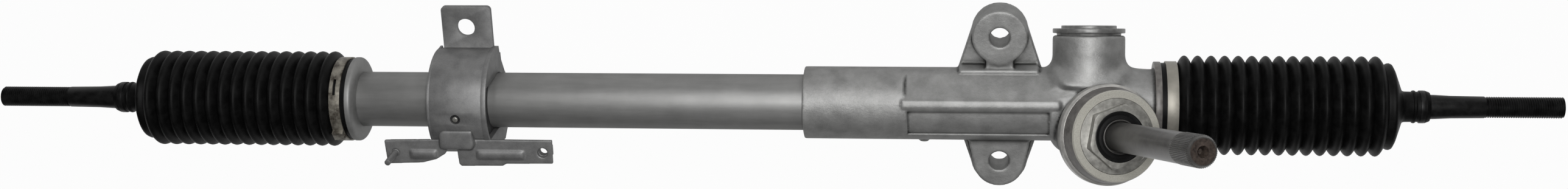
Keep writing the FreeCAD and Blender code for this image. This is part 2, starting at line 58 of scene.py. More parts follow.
bpy.context.scene.camera = camera
bpy.context.scene.view_settings.view_transform = "Standard"

# Studio: floor, world and lamps
# A white sheet of paper under the gear in a dim room with a white wall far behind,
# a soft key lamp behind the camera, and weaker lamps above, beside and below the picture.


class Link:
    """A node's output; + and * on it add Math nodes, so shader sums read as plain arithmetic."""

    def __init__(self, finish, socket):
        self.finish = finish
        self.socket = socket

    def math_node(self, operation, first, second):
        return self.finish.add("ShaderNodeMath", {"operation": operation}, {0: first, 1: second})

    def __add__(self, other):
        return self.math_node("ADD", self, other)

    def __radd__(self, other):
        return self.math_node("ADD", other, self)

    def __mul__(self, other):
        return self.math_node("MULTIPLY", self, other)

    def __rmul__(self, other):
        return self.math_node("MULTIPLY", other, self)


class Finish:
    """A material or the world being built, node by node."""

    def __init__(self, name, world=False):
        self.data = bpy.data.worlds.new(name) if world else bpy.data.materials.new(name)
        self.data.use_nodes = True
        self.tree = self.data.node_tree
        self.shader = None if world else self.tree.nodes["Principled BSDF"]

    def add(self, kind, settings, inputs, output=0):
        """One node: its settings first, then values or links for its sockets."""
        node = self.tree.nodes.new(kind)
        for key, value in settings.items():
            if key == "stops":
                while len(node.color_ramp.elements) < len(value):
                    node.color_ramp.elements.new(0.5)
                for stop, (place, colour) in zip(node.color_ramp.elements, value):
                    stop.position = place
                    stop.color = (*colour, 1.0)
            else:
                setattr(node, key, value)
        for key, value in inputs.items():
            if isinstance(value, Link):
                self.tree.links.new(value.socket, node.inputs[key])
            else:
                node.inputs[key].default_value = value
        return Link(self, node.outputs[output])

    def feed(self, socket, value):
        """A constant or a link on one socket of the surface shader."""
        if isinstance(value, Link):
            self.tree.links.new(value.socket, self.shader.inputs[socket])
        else:
            self.shader.inputs[socket].default_value = value

    def show(self, shader):
        """Put a shader on the output."""
        end = [n for n in self.tree.nodes if n.bl_idname.startswith("ShaderNodeOutput")][0]
        self.tree.links.new(shader.socket, end.inputs["Surface"])


def backdrop_factor(finish):
    """1 for rays that come straight from the camera, a mirror or glass."""
    straight = finish.add("ShaderNodeLightPath", {}, {}, "Is Camera Ray")
    mirror = finish.add("ShaderNodeLightPath", {}, {}, "Is Glossy Ray")
    glass = finish.add("ShaderNodeLightPath", {}, {}, "Is Transmission Ray")
    either = finish.add("ShaderNodeMath", {"operation": "MAXIMUM"}, {0: straight, 1: mirror})
    return finish.add("ShaderNodeMath", {"operation": "MAXIMUM"}, {0: either, 1: glass})


room = Finish("studio_room", world=True)
dim_room = room.add("ShaderNodeBackground", {}, {"Color": (0.03, 0.03, 0.03, 1), "Strength": 1.0})
white_wall = room.add("ShaderNodeBackground", {}, {"Color": (0.97, 0.97, 0.97, 1), "Strength": 1.0})
straight = room.add("ShaderNodeLightPath", {}, {}, "Is Camera Ray")
room.show(room.add("ShaderNodeMixShader", {}, {0: straight, 1: dim_room, 2: white_wall}))
bpy.context.scene.world = room.data

bpy.ops.object.select_all(action="DESELECT")
FLOOR_Z = -0.065
GEAR_MIDDLE = Vector((-0.17, 0.0, 0.02))
bpy.ops.mesh.primitive_plane_add(size=60.0, location=(GEAR_MIDDLE.x, 0.0, FLOOR_Z))
paper = bpy.context.object
paper.name = "paper_floor"
sheet = Finish("white_paper")
sheet.feed("Base Color", (0.20, 0.20, 0.20, 1))
sheet.feed("Roughness", 0.9)
glow = sheet.add("ShaderNodeEmission", {}, {"Color": (1, 1, 1, 1), "Strength": 1.0})
paper_side = Link(sheet, sheet.shader.outputs[0])
WHITE = 0.97
sheet.show(sheet.add("ShaderNodeMixShader", {},
                     {0: backdrop_factor(sheet) * WHITE, 1: paper_side, 2: glow}))
paper.data.materials.append(sheet.data)

# each lamp's name, place, width, height and power
lamps = [("key_lamp", (0.06, 0.49, 1.41), 0.14, 0.22, 13.5),
         ("upper_lamp", (0.05, 0.88, 1.00), 0.20, 0.20, 5.2),
         ("top_lamp", (0.40, 0.95, 0.30), 0.25, 0.20, 1.2),
         ("left_lamp", (-0.52, 0.80, 1.05), 0.20, 0.20, 2.5),
         ("low_lamp", (0.05, -0.85, 1.00), 0.25, 0.25, 0.8)]
for name, place, width, height, power in lamps:
    aim = (GEAR_MIDDLE - Vector(place)).to_track_quat("-Z", "Y").to_euler()
    bpy.ops.object.light_add(type="AREA", location=place, rotation=aim)
    lamp = bpy.context.object
    lamp.name = name
    lamp.data.shape = "RECTANGLE"
    lamp.data.size = width
    lamp.data.size_y = height
    lamp.data.energy = power


# Cast pinion housing
# An aluminium casting: barrel, two bolt ears, yoke tower and pinion boss in one piece.
# Its as-cast skin is satin and slightly rough, and every inner corner is rounded.
RACK = Vector((0.0, -0.0047, 0.016))
ALONG = Vector((1.0, 0.0, 0.0))
PINION_DIR = Vector((0.300706, 0.286788, 0.909576))
TOWER_DIR = Vector((0.0, 0.953717, -0.300706))
MESH_POINT = RACK + ALONG * 0.0597
PINION_O = MESH_POINT - TOWER_DIR * 0.0183


def pick(piece, test):
    """Select the points of a piece, in edit mode, by their place."""
    bpy.ops.object.mode_set(mode="EDIT")
    bpy.ops.mesh.select_mode(type="VERT")
    bpy.ops.mesh.select_all(action="DESELECT")
    bpy.ops.object.mode_set(mode="OBJECT")
    for point in piece.data.vertices:
        point.select = test(point.co)
    bpy.ops.object.mode_set(mode="EDIT")


def modify(piece, kind, **settings):
    """Add a modifier, set it and apply it."""
    bpy.ops.object.mode_set(mode="OBJECT")
    bpy.context.view_layer.objects.active = piece
    bpy.ops.object.modifier_add(type=kind)
    modifier = piece.modifiers[-1]
    for key, value in settings.items():
        setattr(modifier, key, value)
    bpy.ops.object.modifier_apply(modifier=modifier.name)


def joined_copy(node, name):
    """A copy of a CAD node with its loose triangles joined, ready to be worked on."""
    bpy.ops.object.select_all(action="DESELECT")
    piece = bpy.data.objects.new(name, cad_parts[node].data.copy())
    bpy.context.collection.objects.link(piece)
    piece.data.materials.clear()
    piece.select_set(True)
    bpy.context.view_layer.objects.active = piece
    bpy.ops.object.mode_set(mode="EDIT")
    bpy.ops.mesh.select_all(action="SELECT")
    bpy.ops.mesh.remove_doubles(threshold=1e-6)
    bpy.ops.object.mode_set(mode="OBJECT")
    return piece


def smooth(piece, degrees):
    """Shade smooth, but keep edges sharper than an angle crisp."""
    bpy.ops.object.mode_set(mode="OBJECT")
    bpy.ops.object.select_all(action="DESELECT")
    piece.select_set(True)
    bpy.context.view_layer.objects.active = piece
    bpy.ops.object.shade_smooth_by_angle(angle=math.radians(degrees))


def fit(piece, body, slot, finish, *nodes):
    """Give a finished piece its material and body, and let it stand for its CAD nodes."""
    piece.data.materials.clear()
    piece.data.materials.append(finish.data)
    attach(piece, body)
    if nodes:
        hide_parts(*nodes)


def grain(finish, scale, detail=3.0, roughness=0.55, stretch=(1, 1, 1)):
    """Noise on object coordinates; scale is in lumps per metre."""
    here = finish.add("ShaderNodeTexCoord", {}, {}, "Object")
    spread = finish.add("ShaderNodeMapping", {}, {"Vector": here, "Scale": stretch})
    return finish.add("ShaderNodeTexNoise", {}, {"Vector": spread, "Scale": scale, "Detail": detail,
                                                 "Roughness": roughness}, "Fac")


def blend_colour(finish, factor, dark, light):
    """A colour between two, by a factor."""
    return finish.add("ShaderNodeMix", {"data_type": "RGBA"},
                      {0: factor, 6: (*dark, 1), 7: (*light, 1)}, 2)


def ramp(finish, factor, low, high):
    """Stretch a factor between two levels to 0 and 1."""
    return finish.add("ShaderNodeMapRange", {}, {0: factor, 1: low, 2: high})


def bump(finish, height, depth, strength):
    """Small relief in the surface; depth is in metres."""
    finish.feed("Normal", finish.add("ShaderNodeBump", {}, {"Height": height, "Distance": depth,
                                                            "Strength": strength}))


cast = Finish("cast_aluminium_skin")
patches = grain(cast, 95, 4.0)
sand = grain(cast, 1500, 5.0, 0.7)
skin = blend_colour(cast, ramp(cast, patches * 0.7 + sand * 0.3, 0.36, 0.64),
                    (0.215, 0.215, 0.211), (0.315, 0.315, 0.309))
# painted shade: ambient occlusion and pointiness darken the skin towards near black in its corners and
# creases
painted_shade_occlusion = cast.add("ShaderNodeAmbientOcclusion", {"samples": 8, "only_local": True},
                     {"Distance": 0.006}, "AO")
painted_shade_creases = cast.add("ShaderNodeNewGeometry", {}, {}, "Pointiness")
painted_shade_mask = ramp(cast, painted_shade_occlusion, 0.40, 0.92) * ramp(cast, painted_shade_creases, 0.470, 0.497)
# the near-black colour is painted shade, mixed in where the occlusion and pointiness mask is low
cast.feed("Base Color", cast.add("ShaderNodeMix", {"data_type": "RGBA"},
                                 {0: painted_shade_mask, 6: (0.055, 0.055, 0.053, 1), 7: skin}, 2))
cast.feed("Metallic", 0.66)
cast.feed("Specular Tint", (0.35, 0.35, 0.35, 1))
cast.feed("Specular IOR Level", 0.3)
cast.feed("Roughness", patches * 0.1 + 0.50)
cast.feed("Coat Weight", 0.06)
cast.feed("Coat Roughness", 0.26)
bump(cast, sand * 0.6 + grain(cast, 420, 3.0) * 0.8, 0.00045, 0.45)

# the CAD shape with its corners rounded, as sand casting leaves them
casting = joined_copy("pinion_housing", "housing_casting")
modify(casting, "REMESH", mode="VOXEL", voxel_size=0.0009, use_smooth_shade=True)
modify(casting, "SMOOTH", factor=0.5, iterations=4)
modify(casting, "DECIMATE", ratio=0.48)


def on_boss(p):
    """Height along and distance from the pinion axis."""
    d = p - PINION_O
    s = d.dot(PINION_DIR)
    return s, (d - PINION_DIR * s).length


def under_machined(p):
    """The skin that the turned rims of the boss and the flange cover."""
    s, r = on_boss(p)
    off = p - RACK
    out = math.hypot(off.y, off.z)
    if s > 0.0333 and 0.0235 < r < 0.0345 and out > 0.0256:
        return True
    return 0.1022 < p.x < 0.108 and out > 0.0262


def at_tower_foot(p):
    """The skin where the tower grows out of the barrel, short of the ear and the boss wall."""
    d = p - MESH_POINT
    t = d.dot(TOWER_DIR)
    r = (d - TOWER_DIR * t).length
    s, from_boss = on_boss(p)
    if from_boss < 0.031 or (s > 0.0305 and from_boss < 0.0348):
        return False
    return 0.006 < t < 0.034 and 0.0225 < r < 0.039 and p.x > 0.029


pick(casting, at_tower_foot)
bpy.ops.mesh.vertices_smooth(factor=0.5, repeat=50)
pick(casting, under_machined)
bpy.ops.transform.shrink_fatten(value=-0.00035)
bpy.ops.object.mode_set(mode="OBJECT")


def folded_corners(piece):
    """Points of the few slivers that lie folded back on their neighbours."""
    sharing = {}
    for face in piece.data.polygons:
        for edge in face.edge_keys:
            sharing.setdefault(edge, []).append(face.normal)
    folds = [edge for edge, sides in sharing.items() if len(sides) == 2 and sides[0].dot(sides[1]) < 0.0]
    return [piece.data.vertices[v].co.copy() for edge in folds for v in edge]


slivers = folded_corners(casting)
pick(casting, lambda p: any((p - corner).length < 0.0024 for corner in slivers))
bpy.ops.mesh.vertices_smooth(factor=0.5, repeat=20)
bpy.ops.object.mode_set(mode="OBJECT")
fit(casting, "housing", "cast_aluminium", cast, "pinion_housing")

# Machined rims of the housing
# The pinion boss is turned after casting and shows three rings: a satin rim, a dull neck
# and a bright front face. The boot flange is turned too, and has dulled like the neck.


def turned(name, start, axis, profile, sides=96, ends="caps", angle=30.0, bevel=0.0):
    """Turn a part: a circle, then one extruded and scaled ring per step of its profile (mm).

    Its ends get caps, or are joined into a hollow ring, or stay open for a thin wall.
    """
    def spot(s):
        return start + axis * (s * 0.001)

    s0, r0 = profile[0]
    bpy.ops.object.select_all(action="DESELECT")
    bpy.ops.mesh.primitive_circle_add(vertices=sides, radius=r0 * 0.001, location=spot(s0),
                                      rotation=axis.to_track_quat("Z", "Y").to_euler())
    piece = bpy.context.object
    piece.name = name
    bpy.ops.object.mode_set(mode="EDIT")
    bpy.ops.mesh.select_mode(type="VERT")
    bpy.ops.mesh.select_all(action="SELECT")
    for s, r in profile[1:]:
        bpy.ops.mesh.extrude_region_move(
            TRANSFORM_OT_translate={"value": tuple(axis * ((s - s0) * 0.001))})
        k = r / r0
        if abs(k - 1.0) > 1e-9:
            bpy.ops.transform.resize(value=(k, k, k), center_override=spot(s))
        s0, r0 = s, r
    bpy.ops.mesh.select_all(action="DESELECT")
    bpy.ops.mesh.select_mode(type="EDGE")
    bpy.ops.mesh.select_non_manifold()
    if ends == "joined":
        bpy.ops.mesh.bridge_edge_loops()
    elif ends == "caps":
        bpy.ops.mesh.fill_holes(sides=0)
    bpy.ops.mesh.select_all(action="SELECT")
    bpy.ops.mesh.normals_make_consistent(inside=False)
    bpy.ops.object.mode_set(mode="OBJECT")
    bpy.ops.object.transform_apply(location=True, rotation=True, scale=True)
    if bevel:
        modify(piece, "BEVEL", width=bevel * 0.001, segments=2, limit_method="ANGLE",
               angle_limit=math.radians(30))
    smooth(piece, angle)
    return piece


machined = Finish("turned_aluminium")
marks = grain(machined, 900, 2.0)
machined.feed("Base Color", blend_colour(machined, ramp(machined, grain(machined, 160, 3.0), 0.35, 0.65),
                                         (0.31, 0.305, 0.29), (0.43, 0.42, 0.40)))
machined.feed("Metallic", 0.45)
machined.feed("Roughness", marks * 0.12 + 0.34)
bump(machined, marks, 0.00012, 0.4)

neck_skin = Finish("dull_casting_skin")
neck_spots = grain(neck_skin, 260, 4.0)
neck_skin.feed("Base Color", blend_colour(neck_skin, ramp(neck_skin, neck_spots, 0.35, 0.65),
                                          (0.088, 0.082, 0.078), (0.145, 0.137, 0.128)))
neck_skin.feed("Metallic", 0.1)
neck_skin.feed("Specular IOR Level", 0.3)
neck_skin.feed("Roughness", neck_spots * 0.15 + 0.33)
bump(neck_skin, neck_spots, 0.0003, 0.4)

face_bright = Finish("faced_aluminium_ring")
rings = grain(face_bright, 1600, 2.0)
face_bright.feed("Base Color", blend_colour(face_bright, ramp(face_bright, rings, 0.35, 0.65),
                                            (0.33, 0.32, 0.285), (0.41, 0.40, 0.355)))
face_bright.feed("Metallic", 0.2)
face_bright.feed("Roughness", rings * 0.15 + 0.28)
bump(face_bright, rings, 0.00012, 0.4)

boss_rim = turned("boss_rim", PINION_O, PINION_DIR,
                  [(33.2, 31.0), (33.2, 32.9), (34.1, 33.56), (39.8, 33.56), (41.6, 31.95), (41.6, 29.0)],
                  sides=160, ends="joined", bevel=0.2)
fit(boss_rim, "housing", "cast_aluminium", machined)
boss_neck = turned("boss_neck", PINION_O, PINION_DIR,
                   [(41.4, 29.5), (41.4, 31.9), (52.9, 30.5), (53.4, 30.3), (53.4, 27.0)],
                   sides=160, ends="joined")
fit(boss_neck, "housing", "cast_aluminium", neck_skin)
boss_face = turned("boss_face", PINION_O, PINION_DIR,
                   [(53.3, 27.0), (53.3, 30.3), (53.9, 30.1), (54.54, 29.6), (54.54, 25.12),
                    (50.0, 25.12), (50.0, 27.0)], sides=160, ends="joined")
fit(boss_face, "housing", "cast_aluminium", face_bright)
boot_flange = turned("boot_flange", RACK, ALONG,
                     [(102.65, 24.0), (102.65, 29.22), (107.04, 29.22), (107.04, 26.0)],
                     sides=144, ends="joined", bevel=0.35)
fit(boot_flange, "housing", "cast_aluminium", neck_skin)

# Yoke tower cap
# A stepped disc of dark stamped steel, seated on the tower's mouth.
# The plug, spring and yoke lie behind it.
tower_cap = turned("tower_cap_turned", MESH_POINT, TOWER_DIR,
                   [(46.5, 17.0), (46.5, 21.5), (48.2, 21.5), (48.2, 24.25), (51.3, 24.25),
                    (51.3, 18.5), (53.3, 18.5)], sides=128, bevel=0.45)
cap_steel = Finish("stamped_cap_steel")
cap_spots = grain(cap_steel, 240, 4.0)
cap_steel.feed("Base Color", blend_colour(cap_steel, ramp(cap_steel, cap_spots, 0.35, 0.65),
                                          (0.12, 0.12, 0.118), (0.20, 0.20, 0.195)))
cap_steel.feed("Metallic", 0.45)
cap_steel.feed("Roughness", cap_spots * 0.15 + 0.36)
bump(cap_steel, cap_spots, 0.00015, 0.4)
fit(tower_cap, "housing", "cast_aluminium", cap_steel, "tower_cap")

# Steel tube and its end flange
# Drawn steel tube, pressed into the housing's collar and finely streaked along its length.
# The flange that carries the left boot is pressed onto its far end.
tube_steel = Finish("drawn_tube_steel")
streaks = grain(tube_steel, 300, 4.0, 0.6, (0.12, 1, 1))
clouds = grain(tube_steel, 60, 3.0)
mottle = ramp(tube_steel, streaks * 0.5 + clouds * 0.5, 0.35, 0.65)
tube_steel.feed("Base Color", blend_colour(tube_steel, mottle, (0.205, 0.205, 0.201), (0.25, 0.25, 0.245)))
tube_steel.feed("Metallic", 0.64)
tube_steel.feed("Specular Tint", (0.35, 0.35, 0.35, 1))
tube_steel.feed("Specular IOR Level", 0.3)
tube_steel.feed("Roughness", streaks * 0.1 + 0.50)
tube_steel.feed("Coat Weight", 0.05)
tube_steel.feed("Coat Roughness", 0.28)
bump(tube_steel, streaks * 0.6 + grain(tube_steel, 1300, 3.0) * 0.4, 0.00015, 0.4)

tube = turned("steel_tube", RACK, ALONG, [(-446, 16.65), (-446, 19.15), (-68, 19.15), (-68, 16.65)],
              sides=144, ends="joined", bevel=0.3)
fit(tube, "housing", "tube_steel", tube_steel, "rack_tube")
end_flange = turned("tube_end_flange", RACK, ALONG,
                    [(-464, 19.16), (-464, 26.3), (-450.0, 26.3), (-450.0, 29.1), (-449.7, 29.4),
                     (-447.6, 29.4), (-446.7, 29.1), (-446.0, 28.5), (-445.3, 27.4), (-444.8, 26.0),
                     (-444.5, 24.0), (-444.5, 19.16)], sides=144, ends="joined")
fit(end_flange, "housing", "tube_steel", tube_steel, "left_end_flange")

# Hexagon nut, spacer sleeve and shaft seal
# The nut closes the pinion boss: a machined steel hexagon over a darker turned disc.
# In its middle a black rubber lip seals the shaft, round a thin spacer sleeve.
nut_steel = Finish("plain_nut_steel")
nut_cloud = grain(nut_steel, 220, 4.0)
nut_steel.feed("Base Color", blend_colour(nut_steel, ramp(nut_steel, nut_cloud, 0.35, 0.65),
                                          (0.07, 0.066, 0.06), (0.12, 0.115, 0.105)))
nut_steel.feed("Metallic", 0.4)
nut_steel.feed("Roughness", nut_cloud * 0.2 + 0.38)
bump(nut_steel, grain(nut_steel, 1400, 3.0), 0.00015, 0.35)


def crisp(node, name, width):
    """A copied CAD piece with flat triangles joined up and its edges broken; the width is in mm."""
    piece = joined_copy(node, name)
    modify(piece, "DECIMATE", decimate_type="DISSOLVE", angle_limit=math.radians(0.6))
    modify(piece, "BEVEL", width=width * 0.001, segments=2, limit_method="ANGLE",
           angle_limit=math.radians(30), use_clamp_overlap=True)
    smooth(piece, 30)
    return piece


bright_edge = Finish("machined_nut_steel")
edge_cloud = grain(bright_edge, 260, 4.0)
bright_edge.feed("Base Color", blend_colour(bright_edge, ramp(bright_edge, edge_cloud, 0.35, 0.65),
                                            (0.20, 0.195, 0.18), (0.32, 0.315, 0.29)))
bright_edge.feed("Metallic", 0.5)
bright_edge.feed("Roughness", edge_cloud * 0.15 + 0.34)
bump(bright_edge, edge_cloud, 0.00015, 0.4)

# the hexagon is cut off the CAD nut, and the disc below it is turned
nut = joined_copy("pinion_nut", "boss_nut_hexagon")
bpy.ops.object.mode_set(mode="EDIT")
bpy.ops.mesh.select_all(action="SELECT")
bpy.ops.mesh.bisect(plane_co=PINION_O + PINION_DIR * 0.0544, plane_no=PINION_DIR, threshold=1e-6,
                    clear_inner=True, use_fill=True)
modify(nut, "DECIMATE", decimate_type="DISSOLVE", angle_limit=math.radians(0.6))
modify(nut, "BEVEL", width=0.0012, segments=3, limit_method="ANGLE", angle_limit=math.radians(30))
smooth(nut, 30)
fit(nut, "housing", "nut_steel", bright_edge, "pinion_nut")
nut_disc = turned("boss_nut_disc", PINION_O, PINION_DIR,
                  [(44.1, 16.9), (44.1, 22.9), (51.6, 22.9), (51.6, 24.85), (54.65, 24.85), (54.65, 16.9)],
                  sides=128, ends="joined", bevel=0.25)
fit(nut_disc, "housing", "nut_steel", nut_steel, "pinion_nut")
sleeve = turned("spacer_sleeve", PINION_O, PINION_DIR,
                [(44, 10.62), (44, 11.4), (60.9, 11.4), (60.9, 10.62)], sides=96, ends="joined", bevel=0.15)

seal_rubber = Finish("seal_rubber_black")
seal_rubber.feed("Base Color", blend_colour(seal_rubber, grain(seal_rubber, 500, 3.0),
                                            (0.004, 0.004, 0.004), (0.009, 0.009, 0.009)))
seal_rubber.feed("Specular IOR Level", 0.12)
seal_rubber.feed("Roughness", grain(seal_rubber, 700, 2.0) * 0.25 + 0.3)
seal = turned("shaft_seal", PINION_O, PINION_DIR,
              [(52.5, 11.45), (52.5, 16.75), (59.9, 16.75), (60.1, 16.2), (59.9, 15.2), (59.3, 14.1),
               (59.5, 12.6), (60.0, 12.0), (59.8, 11.5)], sides=128, ends="joined")
fit(seal, "housing", "seal_rubber", seal_rubber, "pinion_seal")

# Input shaft
# Oiled dark steel: the helical pinion at its lower end, a plain stretch,
# then a fine serration with a run-out, a chamfered tip and a centre hole.
shaft_steel = Finish("oiled_shaft_steel")
shaft_cloud = grain(shaft_steel, 120, 4.0)
shaft_steel.feed("Base Color", blend_colour(shaft_steel, ramp(shaft_steel, shaft_cloud, 0.35, 0.65),
                                            (0.06, 0.058, 0.056), (0.105, 0.102, 0.097)))
shaft_steel.feed("Metallic", 0.55)
shaft_steel.feed("Specular IOR Level", 0.3)
shaft_steel.feed("Roughness", shaft_cloud * 0.15 + 0.30)
bump(shaft_steel, grain(shaft_steel, 1200, 3.0), 0.00012, 0.4)

gear = joined_copy("pinion_shaft", "pinion_gear")
bpy.ops.object.mode_set(mode="EDIT")
bpy.ops.mesh.select_all(action="SELECT")
bpy.ops.mesh.bisect(plane_co=PINION_O + PINION_DIR * 0.046, plane_no=PINION_DIR,
                    clear_outer=True, use_fill=True)
smooth(gear, 25)
fit(gear, "pinion", "shaft_steel", shaft_steel, "pinion_shaft")
fit(sleeve, "pinion", "nut_steel", shaft_steel, "pinion_sleeve")
shaft = turned("input_shaft", PINION_O, PINION_DIR,
               [(45.9, 10.0), (45.9, 10.58), (55.4, 10.58), (56.0, 9.65), (165.6, 9.65), (165.6, 8.0)],
               sides=128)
fit(shaft, "pinion", "shaft_steel", shaft_steel, "pinion_shaft")

SERRATIONS = 54
CREST_R = 9.95
ROOT_R = 9.5
splined = turned("serrated_end", PINION_O, PINION_DIR,
                 [(165.0, 9.0), (165.3, 9.6), (166.8, CREST_R), (191.1, CREST_R), (192.0, 9.3), (193.5, 8.6),
                  (193.5, 7.9), (185.0, 7.9)], sides=SERRATIONS * 4, angle=25)
side_axis = PINION_DIR.orthogonal().normalized()
other_axis = PINION_DIR.cross(side_axis)


def in_root(p):
    """The two of every four points that lie in a serration's root."""
    s, r = on_boss(p)
    if not (0.16675 < s < 0.19115 and r > 0.0098):
        return False
    d = p - PINION_O
    turn = math.atan2(d.dot(other_axis), d.dot(side_axis)) / (2 * math.pi) * SERRATIONS
    return (turn + 0.125) % 1.0 < 0.5


pick(splined, in_root)
depth = ROOT_R / CREST_R
bpy.ops.transform.resize(value=(depth, depth, depth), center_override=PINION_O + PINION_DIR * 0.17895)
bpy.ops.object.mode_set(mode="OBJECT")
smooth(splined, 25)
fit(splined, "pinion", "shaft_steel", shaft_steel, "pinion_shaft")

tip_steel = Finish("browned_tip_steel")
tip_spots = grain(tip_steel, 420, 4.0, 0.65)
tip_steel.feed("Base Color", blend_colour(tip_steel, ramp(tip_steel, tip_spots, 0.35, 0.68),
                                          (0.017, 0.012, 0.010), (0.058, 0.044, 0.036)))
tip_steel.feed("Metallic", 0.2)
tip_steel.feed("Specular IOR Level", 0.3)
tip_steel.feed("Roughness", tip_spots * 0.25 + 0.4)
bump(tip_steel, tip_spots, 0.0003, 0.5)
tip = turned("shaft_tip_face", PINION_O, PINION_DIR,
             [(186.0, 7.88), (193.42, 7.88), (193.42, 3.6), (190.4, 1.9), (187.0, 1.9)], sides=96)
fit(tip, "pinion", "shaft_steel", tip_steel, "pinion_shaft")

# Left mount: strap, saddle and rubber bushing
# Pressed steel: the strap with its bolt tab is wrapped over a rubber bushing
# and held by a saddle with two side plates; the bushing's nub shows in a small hole.
plate_steel = Finish("pressed_plate_steel")
plate_cloud = grain(plate_steel, 110, 4.0)
plate_grain = grain(plate_steel, 1100, 3.0)
plate_mottle = ramp(plate_steel, plate_cloud * 0.7 + plate_grain * 0.3, 0.36, 0.64)
plate_steel.feed("Base Color", blend_colour(plate_steel, plate_mottle,
                                            (0.16, 0.16, 0.16), (0.23, 0.23, 0.228)))
plate_steel.feed("Metallic", 0.62)
plate_steel.feed("Specular Tint", (0.35, 0.35, 0.35, 1))
plate_steel.feed("Specular IOR Level", 0.3)
plate_steel.feed("Roughness", plate_cloud * 0.1 + 0.50)
bump(plate_steel, plate_grain * 0.5 + plate_cloud * 0.5, 0.0002, 0.4)
strap = crisp("mount_strap", "bolt_strap", 0.6)
fit(strap, "housing", "bracket_steel", plate_steel, "mount_strap")
saddle = crisp("mount_saddle", "strap_saddle", 0.4)
fit(saddle, "housing", "bracket_steel", plate_steel, "mount_saddle")

bush_rubber = Finish("bushing_rubber")
bush_rubber.feed("Base Color", blend_colour(bush_rubber, grain(bush_rubber, 400, 3.0),
                                            (0.02, 0.02, 0.02), (0.05, 0.05, 0.05)))
bush_rubber.feed("Specular IOR Level", 0.15)
bush_rubber.feed("Roughness", grain(bush_rubber, 600, 2.0) * 0.2 + 0.55)
bushing = crisp("mount_bushing", "rubber_bushing", 0.3)
fit(bushing, "housing", "bush_rubber", bush_rubber, "mount_bushing")

nub_turn = math.radians(-2.2)
nub_out = Vector((0.0, math.sin(nub_turn), math.cos(nub_turn)))
nub = turned("bushing_pin", RACK + ALONG * -0.3696, nub_out,
             [(33.5, 1.9), (35.9, 2.05), (36.4, 1.9), (36.7, 1.4), (36.85, 0.7)], sides=48, angle=60)
fit(nub, "housing", "nut_steel", bright_edge)

# Small bracket under the strap
# A folded strip with two pressed beads, welded under the strap; a stud on its left plate
# and a weld nut behind the hole of its right plate.
bracket = joined_copy("arm_bracket", "folded_bracket")
modify(bracket, "REMESH", mode="VOXEL", voxel_size=0.0005, use_smooth_shade=True)
modify(bracket, "SMOOTH", factor=0.5, iterations=4)
# the pressed beads and the tongue stand above the plates and have soft edges
PLATE_TOP_Z = 0.0504
pick(bracket, lambda p: p.z > PLATE_TOP_Z)
bpy.ops.mesh.vertices_smooth(factor=0.5, repeat=30)
bpy.ops.object.mode_set(mode="OBJECT")
fit(bracket, "housing", "bracket_steel", plate_steel, "arm_bracket")
stud = crisp("arm_stud", "bracket_stud", 0.25)
fit(stud, "housing", "bracket_steel", plate_steel, "arm_stud")
weld_nut = crisp("arm_nut", "bracket_weld_nut", 0.3)
WELD_NUT_MIDDLE = (-0.311, -0.0308, 0.045)
bpy.ops.object.mode_set(mode="EDIT")
bpy.ops.mesh.select_all(action="SELECT")
bpy.ops.transform.rotate(value=math.radians(30), orient_axis="Z", center_override=WELD_NUT_MIDDLE)
bpy.ops.object.mode_set(mode="OBJECT")
fit(weld_nut, "housing", "bracket_steel", plate_steel, "arm_nut")

# Bellows boots
# Moulded black rubber: fifteen full folds, one small one, a cone and a collar.
# Distances are in mm along the gear from its middle, towards either end.
GEAR_MID = RACK + ALONG * -0.1715
PITCH = 8.93
FIRST_CREST = 294.5
FOLDS = 15
INNER_FOLDS = 13
VALLEY_R = 27.75
CREST_RISE = 5.65
BALL_D = 386.5
boot_rubber = Finish("boot_rubber_black")
dust = grain(boot_rubber, 130, 4.0)
boot_rubber.feed("Base Color", blend_colour(boot_rubber, ramp(boot_rubber, dust, 0.4, 0.75),
                                            (0.0025, 0.0025, 0.0025), (0.007, 0.007, 0.007)))
boot_rubber.feed("Specular IOR Level", 0.08)
boot_rubber.feed("Roughness", grain(boot_rubber, 260, 3.0) * 0.2 + 0.40)
bump(boot_rubber, grain(boot_rubber, 1300, 3.0) * 0.5 + dust * 0.5, 0.00015, 0.4)


def fold_radius(off):
    """Outer radius of a fold at a distance from its crest: round lobes, narrow valleys."""
    return VALLEY_R + CREST_RISE * max(0.0, math.cos(math.pi * off / PITCH)) ** 0.85


def folds(first, last):
    """The profile of some of the folds, from the valley before the first to the one after the last."""
    profile = []
    for i in range(first, last):
        crest = FIRST_CREST + i * PITCH
        for off in (-3.6, -2.7, -1.8, -0.9, 0.0, 0.9, 1.8, 2.7, 3.6, PITCH / 2):
            profile.append((crest + off, fold_radius(off)))
    return profile


inner_valley = FIRST_CREST + (INNER_FOLDS - 0.5) * PITCH
outer_valley = FIRST_CREST + (FOLDS - 0.5) * PITCH
small_fold = FIRST_CREST + FOLDS * PITCH - 0.5
cone_profile = [(outer_valley, VALLEY_R), (small_fold - 2.4, 28.1), (small_fold - 1.2, 28.75),
                (small_fold, 28.9), (small_fold + 1.2, 28.4), (small_fold + 2.6, 25.9), (431.5, 23.4),
                (434.2, 16.2), (435.8, 11.9), (436.8, 10.6), (438.2, 10.2), (443.0, 10.1), (443.4, 10.75),
                (444.2, 10.95), (445.0, 10.75), (445.4, 10.1), (449.6, 10.1), (450.4, 10.7), (451.6, 10.8),
                (452.6, 10.4), (454.2, 9.8)]
